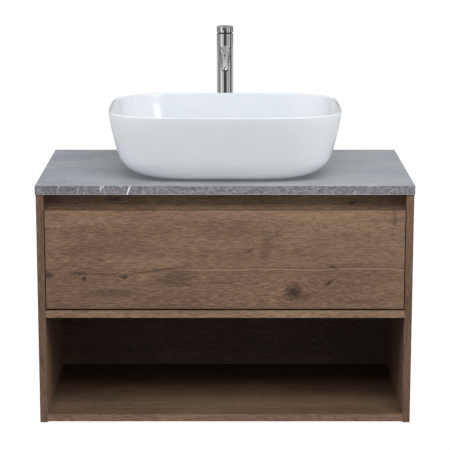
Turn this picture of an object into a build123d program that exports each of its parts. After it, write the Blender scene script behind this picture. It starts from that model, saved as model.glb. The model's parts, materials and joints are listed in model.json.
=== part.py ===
from build123d import *
from math import cos, radians, sin, sqrt, tan
import os

# A wall-hung bathroom vanity with one drawer, an open niche, a stone top, a vessel basin and a tall mixer tap.
#
# Millimetres. +Z is up, the wall is the plane y = 0 and the front faces -Y. The origin is the centre of the
# four wall screws. Each piece is written as its own STEP file in parts/.

SIDES = (-1, 1)
LOW = (Align.CENTER, Align.CENTER, Align.MIN)

# ---------------------------------------------------------------- driving sizes
counter_width = 800
counter_depth = 460
counter_thick = 20
counter_edge = 0.8               # broken edge of the stone

counter_overhang = 1.5           # counter past each side panel
carcass_height = 500
front_setback = 2                # carcass front behind the counter's front edge
board = 16
hang_drop = 60                   # wall screws below the carcass's top edge

finger_gap = 34                  # open strip above the drawer front
finger_reach = 22                # room for fingers behind the drawer front
finger_rail_height = 75
drawer_front_height = 213
drawer_foot_gap = 4
drawer_side_gap = 2
bottom_rise = 2                  # bottom panel above the side panels' lower ends
niche_wall_gap = 78              # front of the niche's back panel from the wall
niche_back_thick = 8
groove_depth = 6
groove_play = 0.2

# ---------------------------------------------------------------- joinery
dowel_radius = 4
dowel_length = 30
dowel_in_side = 10
cam_radius = 7.5
cam_height = 12.5
cam_inset = 34
cam_bolt_radius = 2.5
cam_bolt_in_side = 11
cam_mouth_radius = 3.8
hole_play = 0.1
joint_front = 55                 # joinery rows, from the carcass front and from the wall
joint_back = 48
dowel_offset = 32
screw_head_radius = 3.5
screw_head_height = 1.6
screw_radius = 1.75
screw_length = 10

# ---------------------------------------------------------------- counter brackets
bracket_leg = 30
bracket_width = 24
bracket_thick = 2
bracket_front_gap = 4            # behind the finger rail
bracket_back = 90                # from the wall

# ---------------------------------------------------------------- wall hanging
hanger_board_width = 120
hanger_board_height = 110
hanger_board_back = 18           # hanger board's back face from the wall
hanger_from_side = 52.5          # middle of a hanger from the side panel's inner face
wall_plate_width = 50
wall_plate_height = 60
wall_plate_thick = 2
wall_screw_radius = 4
wall_screw_pitch = 32
plate_shelf_rise = 34            # bent shelf of the wall plate above its screws' centre
plate_reach = 14
plate_lip = 12
hook_width = 20
hook_thick = 3
hook_gap = 6                     # hook's lip from the wall
hook_drop = 8
hanger_width = 32
hanger_height = 58
hanger_depth = 16
hanger_top_gap = 4
adjuster_radius = 4
adjuster_pitch = 26
adjuster_drop_share = 0.62       # adjusters' middle below the housing's top, as a share of its height

# ---------------------------------------------------------------- drawer slides
slide_thick = 12.7
slide_sheet = 1.2
slide_outer_height = 45
slide_ball_gap = 2.3
slide_outer_flange = 9.5
slide_middle_start = 3.5
slide_middle_flange = 7.5
slide_inner_flange = 6.2
slide_front_gap = 2              # rails behind the drawer front
slide_back_gap = 28              # rails short of the drawer's back end
slide_screw_inset = 30           # end screws from the rails' ends

# ---------------------------------------------------------------- drawer
drawer_board = 12
drawer_wall_gap = 62             # drawer's back end from the wall
drawer_side_height = 140
drawer_side_lift = 12            # side boards above the drawer front's lower edge
drawer_bottom_thick = 8
drawer_bottom_lift = 8
drawer_groove = 5
trap_notch_width = 170
trap_notch_gap = 28              # from the trap's cup to the notch's front edge
front_angle_leg = 25
front_angle_width = 20
front_angle_thick = 1.5
front_angle_inset = 30

# ---------------------------------------------------------------- basin
basin_width = 508
basin_height = 143
basin_front_gap = 6              # rim behind the counter's front edge
basin_tap_gap = 7                # rim in front of the tap's base ring
basin_corner_share = 0.742       # rim's corner radius, as a share of half the basin's depth
basin_corner_ease = 0.4          # how much the outside's corners tighten as it leans in
bowl_corner_ease = 0.6
basin_wall = 10
basin_flare = 22                 # how far the outside leans out from foot to rim
basin_heel = 46                  # radius at the bottom of the outside
bowl_flare = 18
bowl_heel = 62                   # radius where the bowl's wall meets its floor
basin_front_share = 0.72         # front and back lean, as a share of the ends' lean
basin_foot_height = 3
basin_foot_ring = 14
basin_floor = 16                 # bowl's floor above the counter
drain_hole_play = 1.6            # drain hole round the waste's thread
drain_seat_play = 2              # seat round the waste's flange
drain_seat_depth = 3.5
basin_seal_width = 12

# ---------------------------------------------------------------- pop-up waste
flange_overhang = 11.1           # flange past the thread
flange_thick = 2.5
waste_thread_radius = 20.9
waste_wall = 2.9
waste_length = 92
waste_web_width = 5
waste_web_height = 6
waste_web_drop = 34
waste_hub_radius = 7
gasket_thick = 1
plug_inset = 2                   # plug's rim inside the flange's
plug_thick = 5
plug_stem_radius = 4
plug_travel = 8
plug_stem_play = 0.3
plug_foot_radius = 6
plug_foot_height = 3
spring_coil_radius = 6
spring_wire_radius = 0.6
spring_turns = 6
counter_gasket_thick = 3
lock_nut_overhang = 10.1         # lock nut past the thread
lock_nut_height = 12

# ---------------------------------------------------------------- bottle trap
trap_nut_wall = 4.1              # inlet nut round the waste's thread
outlet_nut_wall = 5.2            # outlet nut round the spigot
trap_grip_radius = 2
trap_nut_height = 20
trap_tube_radius = 16
trap_tube_wall = 1.2
trap_body_radius = 33
trap_body_height = 48
trap_wall = 2.5
trap_body_drop = 58              # trap body's top below the waste's end
trap_cup_step = 3                # cup wider than the body above it
trap_cup_height = 52
trap_dip = 62                    # inlet tube's depth inside the trap
trap_outlet_drop = 24            # outlet axis below the trap body's top
trap_spigot = 22
trap_spigot_wall = 3.8
outlet_past_wall = 40
outlet_end_step = 0.5            # end that enters the drain pipe, thinner than the tube
rosette_radius = 38
rosette_depth = 9

# ---------------------------------------------------------------- mixer tap
tap_from_wall = 28
tap_radius = 19
tap_wall = 2.5
tap_height = 294                 # top of the handle above the counter
handle_height = 13.4
handle_gap = 3.4
handle_skirt = 1.2
handle_top = 4
handle_edge = 0.6
pivot_drop = 12                  # handle's tilt axis below its lower edge
neck_inset = 2.7                 # dark ring set in from the body
neck_hole_radius = 9.5
tap_base_overhang = 4            # base ring past the body
tap_base_height = 5
tap_seal_thick = 1
tap_hole_play = 1.6              # hole in the counter round the sleeve
sleeve_play = 0.6                # sleeve inside the body's bore
sleeve_wall = 2.4
sleeve_below_counter = 38
clamp_gasket_thick = 3
clamp_washer_thick = 2
clamp_overhang = 8.1             # washers past the sleeve
clamp_nut_overhang = 6.1
clamp_nut_height = 10
inlet_radius = 4.6
inlet_depth = 12
inlet_spacing = 14
waterway_height = 44
waterway_top_drop = 25           # waterway's top below the tilt axis
cartridge_room = 2.5             # cartridge inside the body's bore
cartridge_wall = 4
cartridge_height = 28
carrier_height = 13
carrier_over_pin = 2.6           # carrier's top above the tilt axis
carrier_slot_play = 1.4          # slot wider than the stem
stem_width = 7
stem_foot_radius = 4
pivot_pin_radius = 1.5
pivot_play = 0.05
boss_radius = 6
boss_drop = 7
lever_radius = 3
lever_length = 48
lever_tilt = 5
lever_turn = 2.5                 # lever's rest position, to the left of straight ahead
lever_height_share = 0.55
lever_root = 14
grub_radius = 2
grub_height_share = 0.45
spout_root_radius = 12.5
spout_tip_radius = 7.6
spout_reach = 130
spout_root_drop = 61             # spout's axis at the body, below the handle's top
spout_fall = 9
spout_wall = 2
spout_lip = 0.4                  # mouth below the rounded tip
aerator_out = 2
aerator_in = 5
aerator_wall = 1.2
screen_thick = 1

# ---------------------------------------------------------------- places worked out from the sizes
carcass_top = hang_drop
carcass_bottom = carcass_top - carcass_height
counter_top = carcass_top + counter_thick
counter_front = -counter_depth
carcass_front = counter_front + front_setback
half_carcass = counter_width / 2 - counter_overhang
half_inside = half_carcass - board
hanger_x = half_inside - hanger_from_side

drawer_top = carcass_top - finger_gap
drawer_low = drawer_top - drawer_front_height
shelf_top = drawer_low - drawer_foot_gap
shelf_low = shelf_top - board
bottom_low = carcass_bottom + bottom_rise
bottom_top = bottom_low + board
niche_back = -niche_wall_gap
drawer_front_back = carcass_front + board
finger_rail_front = drawer_front_back + finger_reach

half_drawer = half_inside - slide_thick
half_drawer_inside = half_drawer - drawer_board
drawer_end = -drawer_wall_gap
drawer_side_low = drawer_low + drawer_side_lift
drawer_side_top = drawer_side_low + drawer_side_height
drawer_floor_low = drawer_side_low + drawer_bottom_lift
drawer_floor = drawer_floor_low + drawer_bottom_thick
slide_axis = (drawer_side_low + drawer_side_top) / 2
slide_start = drawer_front_back + slide_front_gap
slide_length = drawer_end - slide_back_gap - slide_start

tap_y = -tap_from_wall
tap_base_radius = tap_radius + tap_base_overhang
basin_front = counter_front + basin_front_gap
basin_back = tap_y - tap_base_radius - basin_tap_gap
basin_depth = basin_back - basin_front
basin_y = (basin_front + basin_back) / 2
basin_corner = basin_corner_share * basin_depth / 2
bowl_floor = counter_top + basin_floor
waste_bore_radius = waste_thread_radius - waste_wall
drain_hole_radius = waste_thread_radius + drain_hole_play
flange_radius = waste_thread_radius + flange_overhang
drain_seat_radius = flange_radius + drain_seat_play
plug_radius = flange_radius - plug_inset
lock_nut_radius = waste_thread_radius + lock_nut_overhang
flange_top = bowl_floor - drain_seat_depth + gasket_thick + flange_thick
waste_end = flange_top - waste_length
web_top = flange_top - waste_web_drop
plug_low = flange_top + plug_travel

trap_nut_radius = waste_thread_radius + trap_nut_wall
trap_cup_radius = trap_body_radius + trap_cup_step
trap_spigot_radius = trap_tube_radius + trap_spigot_wall
outlet_nut_radius = trap_spigot_radius + outlet_nut_wall
outlet_end_radius = trap_tube_radius - outlet_end_step
trap_nut_low = waste_end - trap_nut_height / 2
trap_top = waste_end - trap_body_drop
trap_body_low = trap_top - trap_body_height
outlet_z = trap_top - trap_outlet_drop
notch_front = basin_y - trap_cup_radius - trap_notch_gap
notch_half = trap_notch_width / 2

handle_low = counter_top + tap_height - handle_height
pivot_z = handle_low - pivot_drop
tap_top = handle_low - handle_gap
body_bore = tap_radius - tap_wall
neck_radius = tap_radius - neck_inset
sleeve_radius = body_bore - sleeve_play
sleeve_bore_radius = sleeve_radius - sleeve_wall
tap_hole_radius = sleeve_radius + tap_hole_play
clamp_radius = sleeve_radius + clamp_overhang
clamp_nut_radius = sleeve_radius + clamp_nut_overhang
cartridge_radius = body_bore - cartridge_room
carrier_slot = stem_width + carrier_slot_play
tap_foot = counter_top + tap_seal_thick
spout_z = counter_top + tap_height - spout_root_drop
spout_mouth = spout_tip_radius + spout_lip
waterway_top = pivot_z - waterway_top_drop
waterway_low = waterway_top - waterway_height
stem_top = counter_top + tap_height - handle_top


# ---------------------------------------------------------------- shapes used by many pieces
def block(x0, x1, y0, y1, z0, z1):
    """A box between six planes."""
    return Pos((x0 + x1) / 2, (y0 + y1) / 2, (z0 + z1) / 2) * Box(x1 - x0, y1 - y0, z1 - z0)


def rod(radius, start, end, end_radius=None):
    """A cylinder, or a cone when end_radius is given, from one point to another."""
    start, end = Vector(*start), Vector(*end)
    along = end - start
    if end_radius is None:
        shape = Cylinder(radius, along.length, align=LOW)
    else:
        shape = Cone(radius, end_radius, along.length, align=LOW)
    return Plane(origin=start, z_dir=along) * shape


def upright(radius, x, y, z0, z1):
    return Pos(x, y, z0) * Cylinder(radius, z1 - z0, align=LOW)


def tube(outer, inner, x, y, z0, z1):
    return upright(outer, x, y, z0, z1) - upright(inner, x, y, z0, z1)


def gathered(shapes):
    """Separate solids kept together as one node."""
    return Compound(children=[solid for shape in shapes for solid in shape.solids()])


def cut(shape, tools):
    for tool in tools:
        shape = shape - tool
    return shape


def eased(shape, size):
    """Every straight edge of a box broken by a small chamfer."""
    return chamfer(shape.edges(), size)


def across(side, inside, x_distance):
    """An x position that lies x_distance from the inner face of a side panel, towards the middle."""
    return side * (inside - x_distance)


# ---------------------------------------------------------------- screws, dowels and cams
def screw(head, direction):
    """A pan-head wood screw. head is the point under its head, direction the way it is driven."""
    head, direction = Vector(*head), Vector(*direction)
    return (rod(screw_head_radius, head - direction * screw_head_height, head)
            + rod(screw_radius, head, head + direction * screw_length))


def pilot(head, direction):
    """The hole for a screw, through whatever lies under its head."""
    head, direction = Vector(*head), Vector(*direction)
    return rod(screw_radius + hole_play, head, head + direction * (screw_length + 1))


def cross_boards():
    """The boards between the side panels: their mid height and the y of their dowels."""
    rows = (carcass_front + joint_front + dowel_offset, dowel_offset - joint_back)
    return [((shelf_top + shelf_low) / 2, rows), ((bottom_top + bottom_low) / 2, rows)]


def rail_dowel_places():
    """Dowels that hold the finger rail and the hanger boards, as (y, z)."""
    rail_y = finger_rail_front + board / 2
    hanger_y = -hanger_board_back - board / 2
    rail_z = (carcass_top - finger_rail_height / 4, carcass_top - finger_rail_height * 3 / 4)
    hanger_z = (carcass_top - hanger_board_height / 4, carcass_top - hanger_board_height * 3 / 4)
    return [(rail_y, z) for z in rail_z] + [(hanger_y, z) for z in hanger_z]


def dowel_places():
    """Every dowel between a side panel and a board, as (y, z)."""
    places = [(y, z) for z, rows in cross_boards() for y in rows]
    return places + rail_dowel_places()


def dowel_rods(radius, spare):
    """Dowels, or the holes for them when spare is added to each end."""
    rods = []
    for side in SIDES:
        for y, z in dowel_places():
            outer = across(side, half_inside, -dowel_in_side - spare)
            inner = across(side, half_inside, dowel_length - dowel_in_side + spare)
            rods.append(rod(radius, (outer, y, z), (inner, y, z)))
    return rods


def cam_places():
    """(side, y, z of the board's middle, way its cam pocket opens) for each cam lock."""
    shelf, bottom = cross_boards()
    rows = (carcass_front + joint_front, -joint_back)
    return ([(side, y, shelf[0], 1) for side in SIDES for y in rows]
            + [(side, y, bottom[0], -1) for side in SIDES for y in rows])


def cam_pockets(places):
    """Pockets for the cams and the drillings that lead to them from the board's end."""
    tools = []
    for side, y, z, way in places:
        x = across(side, half_inside, cam_inset)
        face = z + way * board / 2
        tools.append(rod(cam_radius + hole_play, (x, y, face - way * (cam_height + 0.5)), (x, y, face)))
        tools.append(rod(cam_mouth_radius, (across(side, half_inside, 0), y, z), (x, y, z)))
    return tools


def cam_locks():
    locks = []
    for side, y, z, way in cam_places():
        x = across(side, half_inside, cam_inset)
        face = z + way * board / 2
        disc = rod(cam_radius, (x, y, face - way * cam_height), (x, y, face))
        mouth = rod(cam_mouth_radius, (across(side, half_inside, 0), y, z), (x, y, z))
        slot = block(x - 4, x + 4, y - 0.6, y + 0.6, min(face, face - way * 1.5), max(face, face - way * 1.5))
        locks.append(disc - mouth - slot)
    return gathered(locks)


def cam_bolt_rod(side, y, z, radius, spare=0):
    outer = across(side, half_inside, -cam_bolt_in_side - spare)
    inner = across(side, half_inside, cam_inset - 1)
    return rod(radius, (outer, y, z), (inner, y, z))


def cam_bolts():
    return gathered(cam_bolt_rod(side, y, z, cam_bolt_radius) for side, y, z, way in cam_places())


# ---------------------------------------------------------------- carcass
def slide_screw_places(x, direction):
    """(head point, direction) of the screws along one slide rail."""
    rows = (slide_screw_inset, slide_length / 2, slide_length - slide_screw_inset)
    return [((x, slide_start + along, slide_axis), direction) for along in rows]


def cabinet_slide_screws():
    places = []
    for side in SIDES:
        places += slide_screw_places(across(side, half_inside, slide_sheet), (side, 0, 0))
    return places


def bracket_rows():
    return (finger_rail_front + board + bracket_front_gap + bracket_width / 2, -bracket_back)


def bracket_side_screws():
    """Screws that hold the counter brackets to the side panels."""
    z = carcass_top - bracket_leg / 2 - bracket_thick
    return [((across(side, half_inside, bracket_thick), y, z), (side, 0, 0))
            for side in SIDES for y in bracket_rows()]


def bracket_counter_screws():
    """Screws that hold the counter to the brackets."""
    z = carcass_top - bracket_thick
    return [((across(side, half_inside, bracket_leg / 2 + bracket_thick), y, z), (0, 0, 1))
            for side in SIDES for y in bracket_rows()]


def side_panel(side):
    panel = block(*sorted((side * half_carcass, side * half_inside)),
                  carcass_front, 0, carcass_bottom, carcass_top)
    groove_x = sorted((side * half_inside, side * (half_inside + groove_depth)))
    groove = block(*groove_x, niche_back - groove_play, niche_back + niche_back_thick + groove_play,
                   bottom_low, shelf_top)
    holes = [rod(dowel_radius + hole_play, (side * half_inside, y, z),
                 (side * (half_inside + dowel_in_side + 1), y, z)) for y, z in dowel_places()]
    holes += [cam_bolt_rod(side, y, z, cam_bolt_radius + hole_play, 1)
              for s, y, z, way in cam_places() if s == side]
    holes += [pilot(*place) for place in cabinet_slide_screws() + bracket_side_screws()
              if place[1][0] == side]
    return cut(panel, [groove] + holes)


def cross_board(z0, z1, groove_z, pocket_way):
    """A full-depth board between the side panels, with its groove, dowel holes and cam pockets."""
    shape = block(-half_inside, half_inside, carcass_front, 0, z0, z1)
    groove = block(-half_inside, half_inside, niche_back - groove_play,
                   niche_back + niche_back_thick + groove_play, *sorted(groove_z))
    places = [place for place in cam_places() if place[3] == pocket_way]
    return cut(shape, [groove] + dowel_rods(dowel_radius + hole_play, 1) + cam_pockets(places))


def fixed_shelf():
    return cross_board(shelf_low, shelf_top, (shelf_low, shelf_low + groove_depth), 1)


def bottom_panel():
    return cross_board(bottom_low, bottom_top, (bottom_top - groove_depth, bottom_top), -1)


def niche_back_panel():
    half = half_inside + groove_depth - 2 * groove_play
    reach = groove_depth - 2 * groove_play
    return block(-half, half, niche_back, niche_back + niche_back_thick, bottom_top - reach, shelf_low + reach)


def finger_rail():
    rail = block(-half_inside, half_inside, finger_rail_front, finger_rail_front + board,
                 carcass_top - finger_rail_height, carcass_top)
    return cut(rail, dowel_rods(dowel_radius + hole_play, 1))


def hook_arm_low():
    """Underside of the hook's arm, which rests on the wall plate's lip."""
    return plate_shelf_rise + plate_lip


def hanger_boards():
    boards = []
    back = -hanger_board_back
    for side in SIDES:
        panel = block(*sorted((side * half_inside, side * (half_inside - hanger_board_width))),
                      back - board, back, carcass_top - hanger_board_height, carcass_top)
        slot = block(side * hanger_x - hook_width / 2 - 1, side * hanger_x + hook_width / 2 + 1,
                     back - board, back, hook_arm_low() - hook_drop - 2, hook_arm_low() + hook_thick + 3)
        boards.append(cut(panel, [slot] + dowel_rods(dowel_radius + hole_play, 1)))
    return gathered(boards)


def wall_plates():
    """Steel plates screwed to the wall, bent forward and up into a lip for the hooks."""
    plates = []
    half = wall_plate_width / 2
    for side in SIDES:
        x0, x1 = side * hanger_x - half, side * hanger_x + half
        plate = block(x0, x1, -wall_plate_thick, 0, -wall_plate_height / 2, plate_shelf_rise)
        shelf = block(x0, x1, -plate_reach, 0, plate_shelf_rise - wall_plate_thick, plate_shelf_rise)
        lip = block(x0, x1, -plate_reach, -plate_reach + wall_plate_thick, plate_shelf_rise - wall_plate_thick,
                    plate_shelf_rise + plate_lip)
        holes = [rod(wall_screw_radius, (side * hanger_x, -wall_plate_thick - 1, z),
                     (side * hanger_x, 1, z)) for z in (-wall_screw_pitch / 2, wall_screw_pitch / 2)]
        plates.append(cut(plate + shelf + lip, holes))
    return gathered(plates)


def hanger_hooks():
    hooks = []
    front = -hanger_board_back - board
    low = hook_arm_low()
    for side in SIDES:
        x0, x1 = side * hanger_x - hook_width / 2, side * hanger_x + hook_width / 2
        arm = block(x0, x1, front - hanger_depth / 2, -hook_gap, low, low + hook_thick)
        lip = block(x0, x1, -hook_gap - hook_thick, -hook_gap, low - hook_drop, low)
        hooks.append(arm + lip)
    return gathered(hooks)


def cabinet_hangers():
    """Cast housings on the hanger boards, each with two adjusting screws and a slot for its hook."""
    housings = []
    front = -hanger_board_back - board
    top = carcass_top - hanger_top_gap
    for side in SIDES:
        x = side * hanger_x
        body = block(x - hanger_width / 2, x + hanger_width / 2, front - hanger_depth, front,
                     top - hanger_height, top)
        body = fillet(body.edges().filter_by(Axis.Y), 4)
        body = fillet(body.faces().sort_by(Axis.Y)[0].edges(), 2)
        slot = block(x - hook_width / 2, x + hook_width / 2, front - hanger_depth / 2, front,
                     hook_arm_low(), hook_arm_low() + hook_thick)
        face = front - hanger_depth
        sockets = [rod(adjuster_radius, (x, face, z), (x, face + 3, z)) for z in adjuster_heights(top)]
        housings.append(cut(body, [slot] + sockets))
    return gathered(housings)


def adjuster_heights(top):
    middle = top - hanger_height * adjuster_drop_share
    return (middle - adjuster_pitch / 2, middle + adjuster_pitch / 2)


def hanger_adjusters():
    screws = []
    face = -hanger_board_back - board - hanger_depth
    for side in SIDES:
        for z in adjuster_heights(carcass_top - hanger_top_gap):
            x = side * hanger_x
            head = rod(adjuster_radius - hole_play, (x, face + 0.6, z), (x, face + 3, z))
            cross = [block(x - 2.6, x + 2.6, face, face + 1.8, z - 0.5, z + 0.5),
                     block(x - 0.5, x + 0.5, face, face + 1.8, z - 2.6, z + 2.6)]
            screws.append(cut(head, cross))
    return gathered(screws)


def counter_brackets():
    brackets = []
    screws = bracket_side_screws() + bracket_counter_screws()
    for side in SIDES:
        for y in bracket_rows():
            y0, y1 = y - bracket_width / 2, y + bracket_width / 2
            wall = block(*sorted((side * half_inside, across(side, half_inside, bracket_thick))),
                         y0, y1, carcass_top - bracket_leg, carcass_top)
            flat = block(*sorted((side * half_inside, across(side, half_inside, bracket_leg))),
                         y0, y1, carcass_top - bracket_thick, carcass_top)
            holes = [rod(screw_radius + hole_play, Vector(*head) - Vector(*way),
                         Vector(*head) + Vector(*way) * 3) for head, way in screws]
            brackets.append(cut(wall + flat, holes))
    return gathered(brackets)


def carcass_screws():
    places = cabinet_slide_screws() + bracket_side_screws() + bracket_counter_screws()
    return gathered(screw(*place) for place in places)


def countertop():
    slab = block(-counter_width / 2, counter_width / 2, counter_front, 0, carcass_top, counter_top)
    slab = eased(slab, counter_edge)
    holes = [upright(drain_hole_radius, 0, basin_y, carcass_top, counter_top),
             upright(tap_hole_radius, 0, tap_y, carcass_top, counter_top)]
    return cut(slab, holes + [pilot(*place) for place in bracket_counter_screws()])


# ---------------------------------------------------------------- drawer slides
def channel(side, start, flange, height, opens_inward, y0):
    """One pressed slide rail: a web and two flanges. start is the web's distance from the side panel."""
    web_far = start + slide_sheet
    flange_span = (start, start + flange) if opens_inward else (web_far - flange, web_far)
    x_web = sorted((across(side, half_inside, start), across(side, half_inside, web_far)))
    x_flange = sorted(across(side, half_inside, distance) for distance in flange_span)
    y1 = y0 + slide_length
    top, low = slide_axis + height / 2, slide_axis - height / 2
    return (block(*x_web, y0, y1, low, top)
            + block(*x_flange, y0, y1, top - slide_sheet, top)
            + block(*x_flange, y0, y1, low, low + slide_sheet))


def middle_rail_height():
    return slide_outer_height - 2 * (slide_sheet + slide_ball_gap)


def inner_rail_height():
    return middle_rail_height() - 2 * (slide_sheet + slide_ball_gap)


def slide_rails_outer():
    rails = [channel(side, 0, slide_outer_flange, slide_outer_height, True, slide_start) for side in SIDES]
    return gathered(cut(rail, [pilot_through(place) for place in cabinet_slide_screws()]) for rail in rails)


def pilot_through(place):
    """A clearance hole for a screw through sheet metal."""
    head, way = Vector(*place[0]), Vector(*place[1])
    return rod(screw_radius + 2 * hole_play, head - way, head + way * 3)


def slide_rails_middle():
    return gathered(channel(side, slide_middle_start, slide_middle_flange, middle_rail_height(), True, slide_start)
                    for side in SIDES)


def slide_rails_inner():
    rails = [channel(side, slide_thick - slide_sheet, slide_inner_flange, inner_rail_height(), False, slide_start)
             for side in SIDES]
    return gathered(cut(rail, [pilot_through(place) for place in drawer_slide_screws()]) for rail in rails)


# ---------------------------------------------------------------- drawer
def drawer_slide_screws():
    places = []
    for side in SIDES:
        places += slide_screw_places(across(side, half_inside, slide_thick - slide_sheet), (-side, 0, 0))
    return places


def front_angle_heights():
    return (drawer_side_low + front_angle_inset, drawer_side_top - front_angle_inset)


def angle_screws():
    """Screws of the angles that tie the drawer's sides to its front."""
    places = []
    middle = front_angle_leg / 2 + front_angle_thick
    for side in SIDES:
        for z in front_angle_heights():
            on_side = (side * (half_drawer_inside - front_angle_thick), drawer_front_back + middle, z)
            on_front = (side * (half_drawer_inside - middle), drawer_front_back + front_angle_thick, z)
            places += [(on_side, (side, 0, 0)), (on_front, (0, -1, 0))]
    return places


def front_angles():
    angles = []
    for side in SIDES:
        for z in front_angle_heights():
            z0, z1 = z - front_angle_width / 2, z + front_angle_width / 2
            inner = side * half_drawer_inside
            leg = block(*sorted((inner, inner - side * front_angle_thick)), drawer_front_back,
                        drawer_front_back + front_angle_leg, z0, z1)
            foot = block(*sorted((inner, inner - side * front_angle_leg)), drawer_front_back,
                         drawer_front_back + front_angle_thick, z0, z1)
            angles.append(cut(leg + foot, [pilot_through(place) for place in angle_screws()]))
    return gathered(angles)


def drawer_screws():
    return gathered(screw(*place) for place in drawer_slide_screws() + angle_screws())


def drawer_front():
    half = half_inside - drawer_side_gap
    panel = block(-half, half, carcass_front, drawer_front_back, drawer_low, drawer_top)
    return cut(panel, [pilot(*place) for place in angle_screws() if place[1][1]])


def drawer_side(side):
    """One side board, grooved for the drawer's bottom."""
    panel = block(*sorted((side * half_drawer, side * half_drawer_inside)), drawer_front_back, drawer_end,
                  drawer_side_low, drawer_side_top)
    groove = block(*sorted((side * half_drawer_inside, side * (half_drawer_inside + drawer_groove))),
                   drawer_front_back, drawer_end, drawer_floor_low - groove_play, drawer_floor + groove_play)
    screws = [place for place in drawer_slide_screws() if place[1][0] == -side]
    screws += [place for place in angle_screws() if place[1][0] == side]
    return cut(panel, [groove] + [pilot(*place) for place in screws])


def drawer_bottom():
    half = half_drawer_inside + drawer_groove - groove_play
    floor = block(-half, half, drawer_front_back, drawer_end, drawer_floor_low, drawer_floor)
    return floor - block(-notch_half, notch_half, notch_front, drawer_end, drawer_floor_low, drawer_floor)


def trap_surround():
    """Three upright boards round the notch that clears the trap."""
    outer = notch_half + drawer_board
    boards = [block(*sorted((side * notch_half, side * outer)), notch_front - drawer_board, drawer_end,
                    drawer_floor, drawer_side_top) for side in SIDES]
    boards.append(block(-notch_half, notch_half, notch_front - drawer_board, notch_front,
                        drawer_floor, drawer_side_top))
    return gathered(boards)


def drawer_back_boards():
    outer = notch_half + drawer_board
    return gathered(block(*sorted((side * outer, side * half_drawer_inside)), drawer_end - drawer_board, drawer_end,
                          drawer_floor, drawer_side_top) for side in SIDES)


# ---------------------------------------------------------------- basin
def basin_section(z, inset_x, inset_y, corner):
    """A rounded rectangle set in from the rim's outline, at a height above the counter."""
    return (Pos(0, basin_y, counter_top + z)
            * RectangleRounded(basin_width - 2 * inset_x, basin_depth - 2 * inset_y, corner))


def wall_inset(z, height, flare, heel):
    """How far a leaning wall with a round heel stands in from its rim, z above its foot."""
    below = max(heel - z, 0)
    return flare * (1 - z / height) ** 1.5 + heel - sqrt(heel ** 2 - below ** 2)


def basin_loft(low, height, flare, heel, inset, sharper):
    """A solid under a leaning wall: sections through its round heel, then up to its rim."""
    turns = [radians(degrees) for degrees in (0, 26, 45, 66, 90)]
    rises = [heel * (1 - cos(turn)) for turn in turns]
    rises += [heel + (height - heel) * share for share in (0.25, 0.5, 0.75, 1)]
    sections = []
    for rise in rises:
        lean = inset + wall_inset(rise, height, flare, heel)
        sections.append(basin_section(low + rise, lean, inset + (lean - inset) * basin_front_share,
                                      basin_corner - sharper * lean))
    return loft(Sketch() + sections)


def basin():
    """The ceramic bowl: a lofted shell with a rounded rim, a foot ring and a seat for the waste."""
    outside = basin_loft(basin_foot_height, basin_height - basin_foot_height, basin_flare, basin_heel, 0,
                         basin_corner_ease)
    bowl = basin_loft(basin_floor, basin_height - basin_floor, bowl_flare, bowl_heel, basin_wall,
                      bowl_corner_ease)
    shape = outside - bowl
    rim = [edge for edge in shape.edges() if edge.center().Z > counter_top + basin_height - 1]
    shape = fillet(rim, basin_wall * 0.3)
    foot_lean = basin_flare + basin_heel
    foot_y = foot_lean * basin_front_share
    corner = basin_corner - basin_corner_ease * foot_lean
    foot = extrude(basin_section(0, foot_lean, foot_y, corner), basin_foot_height + basin_wall / 2)
    hollow = extrude(basin_section(0, foot_lean + basin_foot_ring, foot_y + basin_foot_ring,
                                   corner - basin_foot_ring), basin_foot_height)
    seat = upright(drain_seat_radius, 0, basin_y, bowl_floor - drain_seat_depth, bowl_floor + 1)
    hole = upright(drain_hole_radius, 0, basin_y, counter_top, bowl_floor)
    return cut(shape + foot, [hollow, seat, hole])


def basin_seal():
    """A rubber washer between the basin's underside and the counter, round the waste."""
    inner = drain_hole_radius + 2
    return tube(inner + basin_seal_width, inner, 0, basin_y, counter_top, counter_top + basin_foot_height)


# ---------------------------------------------------------------- pop-up waste
def waste_body():
    """The flanged, threaded waste with a cross web and hub that guide the plug's stem."""
    flange = tube(flange_radius, waste_bore_radius, 0, basin_y, flange_top - flange_thick, flange_top)
    flange = chamfer(flange.edges().group_by(Axis.Z)[-1].sort_by(SortBy.LENGTH)[-1], 0.8)
    pipe = tube(waste_thread_radius, waste_bore_radius, 0, basin_y, waste_end, flange_top - flange_thick)
    arms = [Pos(0, basin_y, web_top - waste_web_height / 2) * Rot(0, 0, turn)
            * Box(2 * waste_bore_radius + 1, waste_web_width, waste_web_height) for turn in (0, 90)]
    hub = upright(waste_hub_radius, 0, basin_y, web_top - waste_web_height, web_top)
    core = upright(plug_stem_radius + plug_stem_play, 0, basin_y, web_top - waste_web_height - 1, web_top + 1)
    shape = flange + pipe + arms[0] + arms[1] + hub
    return shape - core


def waste_gaskets():
    """The washer under the flange and the one under the counter."""
    low = bowl_floor - drain_seat_depth
    upper = tube(flange_radius - 1, waste_thread_radius + hole_play, 0, basin_y, low, low + gasket_thick)
    lower = tube(lock_nut_radius - 1, waste_thread_radius + hole_play, 0, basin_y,
                 carcass_top - counter_gasket_thick, carcass_top)
    return gathered([upper, lower])


def waste_lock_nut():
    top = carcass_top - counter_gasket_thick
    nut = Pos(0, basin_y, top - lock_nut_height) * extrude(RegularPolygon(lock_nut_radius, 8), lock_nut_height)
    return nut - upright(waste_thread_radius + hole_play, 0, basin_y, top - lock_nut_height - 1, top + 1)


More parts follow.
